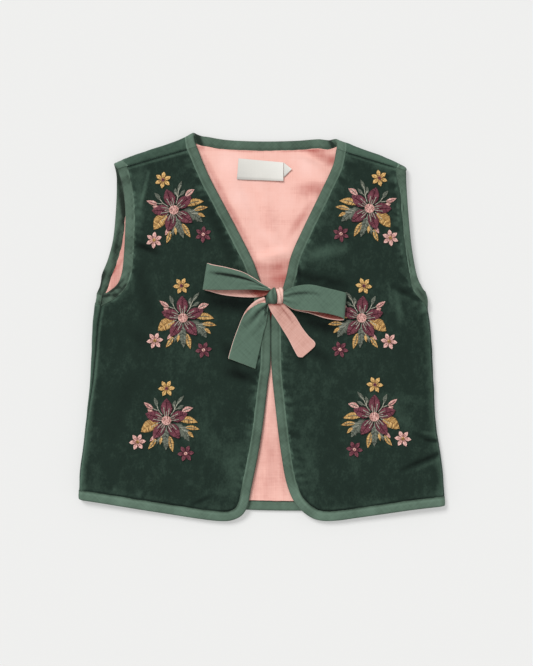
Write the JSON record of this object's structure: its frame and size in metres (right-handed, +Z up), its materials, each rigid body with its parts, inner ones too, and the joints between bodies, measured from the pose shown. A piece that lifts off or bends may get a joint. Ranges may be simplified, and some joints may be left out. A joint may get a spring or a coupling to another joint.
{
  "type": "embroidered waistcoat",
  "caption": "Child's padded velvet waistcoat laid flat, with bound edges, a V neck, a cotton ribbon tied in a bow and flower sprigs embroidered down both fronts.",
  "frame": {"origin": "middle of the waistcoat in plan, on the surface that its back lies on", "axes": "+Z up out of the fronts, +Y from the hem to the neck, +X to the right of someone looking down on the fronts"},
  "size_m": [0.348, 0.3687, 0.0199],
  "materials": {
    "velvet_green": "soft short pile, lighter where it leans",
    "cotton_green": "matt plain weave",
    "cotton_pink": "matt plain weave",
    "thread_burgundy": "satin stitch",
    "thread_mustard": "satin stitch",
    "thread_pink": "satin stitch",
    "thread_leaf": "satin stitch",
    "label_white": "woven ribbon"
  },
  "bodies": {
    "root": {"back_lining": "cotton_pink", "back_panel": "velvet_green", "binding_armhole_left_back": "cotton_green", "binding_armhole_left_front": "cotton_green", "binding_armhole_right_back": "cotton_green", "binding_armhole_right_front": "cotton_green", "binding_front_left": "cotton_green", "binding_front_right": "cotton_green", "binding_hem_back": "cotton_green", "binding_neck_back": "cotton_green", "blossom_burgundy_left_low": "thread_burgundy", "blossom_burgundy_left_middle": "thread_burgundy", "blossom_burgundy_left_top": "thread_burgundy", "blossom_burgundy_right_low": "thread_burgundy", "blossom_burgundy_right_middle": "thread_burgundy", "blossom_burgundy_right_top": "thread_burgundy", "blossom_mustard_left_low": "thread_mustard", "blossom_mustard_left_middle": "thread_mustard", "blossom_mustard_left_top": "thread_mustard", "blossom_mustard_right_low": "thread_mustard", "blossom_mustard_right_middle": "thread_mustard", "blossom_mustard_right_top": "thread_mustard", "blossom_pink_left_low": "thread_pink", "blossom_pink_left_middle": "thread_pink", "blossom_pink_left_top": "thread_pink", "blossom_pink_right_low": "thread_pink", "blossom_pink_right_middle": "thread_pink", "blossom_pink_right_top": "thread_pink", "bow_knot": "cotton_green", "bow_loop_left": "cotton_green", "bow_loop_right": "cotton_green", "bow_tail_left": "cotton_green", "bow_tail_right": "cotton_pink", "flower_left_low": "thread_burgundy", "flower_left_middle": "thread_burgundy", "flower_left_top": "thread_burgundy", "flower_right_low": "thread_burgundy", "flower_right_middle": "thread_burgundy", "flower_right_top": "thread_burgundy", "front_left": "velvet_green", "front_right": "velvet_green", "leaves_left_low": "thread_leaf", "leaves_left_middle": "thread_leaf", "leaves_left_top": "thread_leaf", "leaves_right_low": "thread_leaf", "leaves_right_middle": "thread_leaf", "leaves_right_top": "thread_leaf", "neck_label": "label_white", "size_tag": "label_white", "tie_left": "cotton_green", "tie_right": "cotton_green"}
  },
  "joints": []
}
